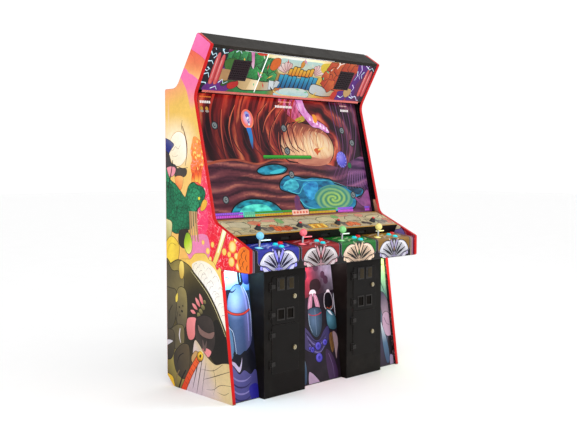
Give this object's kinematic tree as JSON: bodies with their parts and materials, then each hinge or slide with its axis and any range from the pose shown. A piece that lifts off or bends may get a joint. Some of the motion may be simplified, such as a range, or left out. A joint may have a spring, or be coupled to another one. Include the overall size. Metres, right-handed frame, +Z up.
{
  "type": "arcade cabinet",
  "caption": "Upright multi-player arcade cabinet with wide joystick deck, tilted screen, lit header, twin coin towers, swinging doors and full side panels.",
  "frame": {"origin": "middle of the footprint, on the floor", "axes": "+Z up, -Y towards the players (the screen side), +X to a player's right"},
  "size_m": [1.3, 0.71, 1.8981],
  "materials": {
    "side_art": "printed laminate",
    "red_trim": "gloss",
    "dark_board": "painted",
    "raw_board": "raw",
    "kick_art": "printed laminate",
    "black_steel": "fine texture",
    "deck_art": "printed overlay",
    "button_teal": "gloss",
    "button_cyan": "gloss",
    "button_red": "gloss",
    "black_plastic": "satin",
    "screen": "lit display",
    "marquee_art": "backlit print",
    "retainer": "polished",
    "shelf_art": "printed overlay",
    "lamp": "diffuser",
    "bare_steel": "plain",
    "grey_plastic": "satin",
    "wheel_rubber": "matt",
    "lock_chrome": "polished",
    "amber": "tinted",
    "ball_1": "gloss",
    "ball_2": "gloss",
    "ball_3": "gloss",
    "ball_4": "gloss"
  },
  "bodies": {
    "cabinet": {"side_panel_left": "side_art", "side_panel_right": "side_art", "edge_trims": "red_trim", "roof_panel": "dark_board", "base_panel": "raw_board", "back_panel": "dark_board", "kick_panel": "kick_art", "coin_towers": "black_steel", "control_deck": "deck_art", "button_housings": "button_teal", "joystick_bases": "black_plastic", "monitor": "screen", "monitor_bezel": "black_plastic", "marquee_panel": "marquee_art", "marquee_retainer": "retainer", "speakers": "black_plastic", "instruction_shelf": "shelf_art", "lamp_strips": "lamp", "cash_boxes": "bare_steel", "game_computer": "grey_plastic", "hinges_and_brackets": "bare_steel", "power_inlet": "black_plastic"},
    "coin_door_left": {"coin_door_left": "black_steel"},
    "cash_door_left": {"cash_door_left": "black_steel"},
    "coin_door_right": {"coin_door_right": "black_steel"},
    "cash_door_right": {"cash_door_right": "black_steel"},
    "coin_lock_left": {"coin_lock_left": "lock_chrome"},
    "cash_lock_left": {"cash_lock_left": "lock_chrome"},
    "coin_lock_right": {"coin_lock_right": "lock_chrome"},
    "cash_lock_right": {"cash_lock_right": "lock_chrome"},
    "service_door": {"service_door": "dark_board"},
    "transport_wheels": {"transport_wheels": "wheel_rubber"},
    "gimbal_1": {"gimbal_1": "bare_steel"},
    "joystick_1": {"joystick_1": "ball_1"},
    "gimbal_2": {"gimbal_2": "bare_steel"},
    "joystick_2": {"joystick_2": "ball_2"},
    "gimbal_3": {"gimbal_3": "bare_steel"},
    "joystick_3": {"joystick_3": "ball_3"},
    "gimbal_4": {"gimbal_4": "bare_steel"},
    "joystick_4": {"joystick_4": "ball_4"},
    "reject_button_1": {"reject_button_1": "amber"},
    "reject_button_2": {"reject_button_2": "amber"},
    "reject_button_3": {"reject_button_3": "amber"},
    "reject_button_4": {"reject_button_4": "amber"},
    "button_1a": {"button_1a": "button_cyan"},
    "button_1b": {"button_1b": "button_cyan"},
    "button_1c": {"button_1c": "button_red"},
    "button_2a": {"button_2a": "button_cyan"},
    "button_2b": {"button_2b": "button_cyan"},
    "button_2c": {"button_2c": "button_red"},
    "button_3a": {"button_3a": "button_cyan"},
    "button_3b": {"button_3b": "button_cyan"},
    "button_3c": {"button_3c": "button_red"},
    "button_4a": {"button_4a": "button_cyan"},
    "button_4b": {"button_4b": "button_cyan"},
    "button_4c": {"button_4c": "button_red"},
    "start_button_1": {"start_button_1": "button_red"},
    "start_button_2": {"start_button_2": "button_red"},
    "start_button_3": {"start_button_3": "button_red"},
    "start_button_4": {"start_button_4": "button_red"}
  },
  "joints": [
    {"name": "coin_door_left_hinge", "type": "hinge", "parent": "cabinet", "child": "coin_door_left", "pos_m": [-0.41, -0.249, 0.508], "axis": [0, 0, -1], "range_deg": [0, 100]},
    {"name": "cash_door_left_hinge", "type": "hinge", "parent": "cabinet", "child": "cash_door_left", "pos_m": [-0.41, -0.249, 0.25], "axis": [0, 0, -1], "range_deg": [0, 100]},
    {"name": "coin_door_right_hinge", "type": "hinge", "parent": "cabinet", "child": "coin_door_right", "pos_m": [0.213, -0.249, 0.508], "axis": [0, 0, -1], "range_deg": [0, 100]},
    {"name": "cash_door_right_hinge", "type": "hinge", "parent": "cabinet", "child": "cash_door_right", "pos_m": [0.213, -0.249, 0.25], "axis": [0, 0, -1], "range_deg": [0, 100]},
    {"name": "coin_lock_left_turn", "type": "hinge", "parent": "coin_door_left", "child": "coin_lock_left", "pos_m": [-0.2465, -0.25, 0.52], "axis": [0, -1, 0], "range_deg": [0, 90]},
    {"name": "cash_lock_left_turn", "type": "hinge", "parent": "cash_door_left", "child": "cash_lock_left", "pos_m": [-0.2465, -0.25, 0.2445], "axis": [0, -1, 0], "range_deg": [0, 90]},
    {"name": "coin_lock_right_turn", "type": "hinge", "parent": "coin_door_right", "child": "coin_lock_right", "pos_m": [0.3765, -0.25, 0.52], "axis": [0, -1, 0], "range_deg": [0, 90]},
    {"name": "cash_lock_right_turn", "type": "hinge", "parent": "cash_door_right", "child": "cash_lock_right", "pos_m": [0.3765, -0.25, 0.2445], "axis": [0, -1, 0], "range_deg": [0, 90]},
    {"name": "service_door_hinge", "type": "hinge", "parent": "cabinet", "child": "service_door", "pos_m": [-0.301, 0.3496, 0.76], "axis": [0, 0, 1], "range_deg": [0, 110]},
    {"name": "transport_wheels_roll", "type": "hinge", "parent": "cabinet", "child": "transport_wheels", "pos_m": [0, 0.318, 0.045], "axis": [1, 0, 0], "continuous": true},
    {"name": "joystick_1_fore_aft", "type": "hinge", "parent": "cabinet", "child": "gimbal_1", "pos_m": [-0.542, -0.29824, 0.78335], "axis": [1, 0, 0], "range_deg": [-10, 10], "stiffness_Nm_per_rad": 2},
    {"name": "joystick_1_side", "type": "hinge", "parent": "gimbal_1", "child": "joystick_1", "pos_m": [-0.542, -0.29824, 0.78335], "axis": [0, 0.9921, 0.1253], "range_deg": [-10, 10], "stiffness_Nm_per_rad": 2},
    {"name": "joystick_2_fore_aft", "type": "hinge", "parent": "cabinet", "child": "gimbal_2", "pos_m": [-0.242, -0.29824, 0.78335], "axis": [1, 0, 0], "range_deg": [-10, 10], "stiffness_Nm_per_rad": 2},
    {"name": "joystick_2_side", "type": "hinge", "parent": "gimbal_2", "child": "joystick_2", "pos_m": [-0.242, -0.29824, 0.78335], "axis": [0, 0.9921, 0.1253], "range_deg": [-10, 10], "stiffness_Nm_per_rad": 2},
    {"name": "joystick_3_fore_aft", "type": "hinge", "parent": "cabinet", "child": "gimbal_3", "pos_m": [0.058, -0.29824, 0.78335], "axis": [1, 0, 0], "range_deg": [-10, 10], "stiffness_Nm_per_rad": 2},
    {"name": "joystick_3_side", "type": "hinge", "parent": "gimbal_3", "child": "joystick_3", "pos_m": [0.058, -0.29824, 0.78335], "axis": [0, 0.9921, 0.1253], "range_deg": [-10, 10], "stiffness_Nm_per_rad": 2},
    {"name": "joystick_4_fore_aft", "type": "hinge", "parent": "cabinet", "child": "gimbal_4", "pos_m": [0.358, -0.29824, 0.78335], "axis": [1, 0, 0], "range_deg": [-10, 10], "stiffness_Nm_per_rad": 2},
    {"name": "joystick_4_side", "type": "hinge", "parent": "gimbal_4", "child": "joystick_4", "pos_m": [0.358, -0.29824, 0.78335], "axis": [0, 0.9921, 0.1253], "range_deg": [-10, 10], "stiffness_Nm_per_rad": 2},
    {"name": "reject_button_1_press", "type": "slide", "parent": "coin_door_left", "child": "reject_button_1", "axis": [0, 1, 0], "range_m": [0, 0.003], "stiffness_N_per_m": 300, "springref_m": -0.002},
    {"name": "reject_button_2_press", "type": "slide", "parent": "coin_door_left", "child": "reject_button_2", "axis": [0, 1, 0], "range_m": [0, 0.003], "stiffness_N_per_m": 300, "springref_m": -0.002},
    {"name": "reject_button_3_press", "type": "slide", "parent": "coin_door_right", "child": "reject_button_3", "axis": [0, 1, 0], "range_m": [0, 0.003], "stiffness_N_per_m": 300, "springref_m": -0.002},
    {"name": "reject_button_4_press", "type": "slide", "parent": "coin_door_right", "child": "reject_button_4", "axis": [0, 1, 0], "range_m": [0, 0.003], "stiffness_N_per_m": 300, "springref_m": -0.002},
    {"name": "button_1a_press", "type": "slide", "parent": "cabinet", "child": "button_1a", "axis": [0, -0.1253, 0.9921], "range_m": [-0.003, 0], "stiffness_N_per_m": 250, "springref_m": 0.002},
    {"name": "button_1b_press", "type": "slide", "parent": "cabinet", "child": "button_1b", "axis": [0, -0.1253, 0.9921], "range_m": [-0.003, 0], "stiffness_N_per_m": 250, "springref_m": 0.002},
    {"name": "button_1c_press", "type": "slide", "parent": "cabinet", "child": "button_1c", "axis": [0, -0.1253, 0.9921], "range_m": [-0.003, 0], "stiffness_N_per_m": 250, "springref_m": 0.002},
    {"name": "button_2a_press", "type": "slide", "parent": "cabinet", "child": "button_2a", "axis": [0, -0.1253, 0.9921], "range_m": [-0.003, 0], "stiffness_N_per_m": 250, "springref_m": 0.002},
    {"name": "button_2b_press", "type": "slide", "parent": "cabinet", "child": "button_2b", "axis": [0, -0.1253, 0.9921], "range_m": [-0.003, 0], "stiffness_N_per_m": 250, "springref_m": 0.002},
    {"name": "button_2c_press", "type": "slide", "parent": "cabinet", "child": "button_2c", "axis": [0, -0.1253, 0.9921], "range_m": [-0.003, 0], "stiffness_N_per_m": 250, "springref_m": 0.002},
    {"name": "button_3a_press", "type": "slide", "parent": "cabinet", "child": "button_3a", "axis": [0, -0.1253, 0.9921], "range_m": [-0.003, 0], "stiffness_N_per_m": 250, "springref_m": 0.002},
    {"name": "button_3b_press", "type": "slide", "parent": "cabinet", "child": "button_3b", "axis": [0, -0.1253, 0.9921], "range_m": [-0.003, 0], "stiffness_N_per_m": 250, "springref_m": 0.002},
    {"name": "button_3c_press", "type": "slide", "parent": "cabinet", "child": "button_3c", "axis": [0, -0.1253, 0.9921], "range_m": [-0.003, 0], "stiffness_N_per_m": 250, "springref_m": 0.002},
    {"name": "button_4a_press", "type": "slide", "parent": "cabinet", "child": "button_4a", "axis": [0, -0.1253, 0.9921], "range_m": [-0.003, 0], "stiffness_N_per_m": 250, "springref_m": 0.002},
    {"name": "button_4b_press", "type": "slide", "parent": "cabinet", "child": "button_4b", "axis": [0, -0.1253, 0.9921], "range_m": [-0.003, 0], "stiffness_N_per_m": 250, "springref_m": 0.002},
    {"name": "button_4c_press", "type": "slide", "parent": "cabinet", "child": "button_4c", "axis": [0, -0.1253, 0.9921], "range_m": [-0.003, 0], "stiffness_N_per_m": 250, "springref_m": 0.002},
    {"name": "start_button_1_press", "type": "slide", "parent": "cabinet", "child": "start_button_1", "axis": [0, -0.3839, 0.9234], "range_m": [-0.003, 0], "stiffness_N_per_m": 250, "springref_m": 0.002},
    {"name": "start_button_2_press", "type": "slide", "parent": "cabinet", "child": "start_button_2", "axis": [0, -0.3839, 0.9234], "range_m": [-0.003, 0], "stiffness_N_per_m": 250, "springref_m": 0.002},
    {"name": "start_button_3_press", "type": "slide", "parent": "cabinet", "child": "start_button_3", "axis": [0, -0.3839, 0.9234], "range_m": [-0.003, 0], "stiffness_N_per_m": 250, "springref_m": 0.002},
    {"name": "start_button_4_press", "type": "slide", "parent": "cabinet", "child": "start_button_4", "axis": [0, -0.3839, 0.9234], "range_m": [-0.003, 0], "stiffness_N_per_m": 250, "springref_m": 0.002}
  ]
}
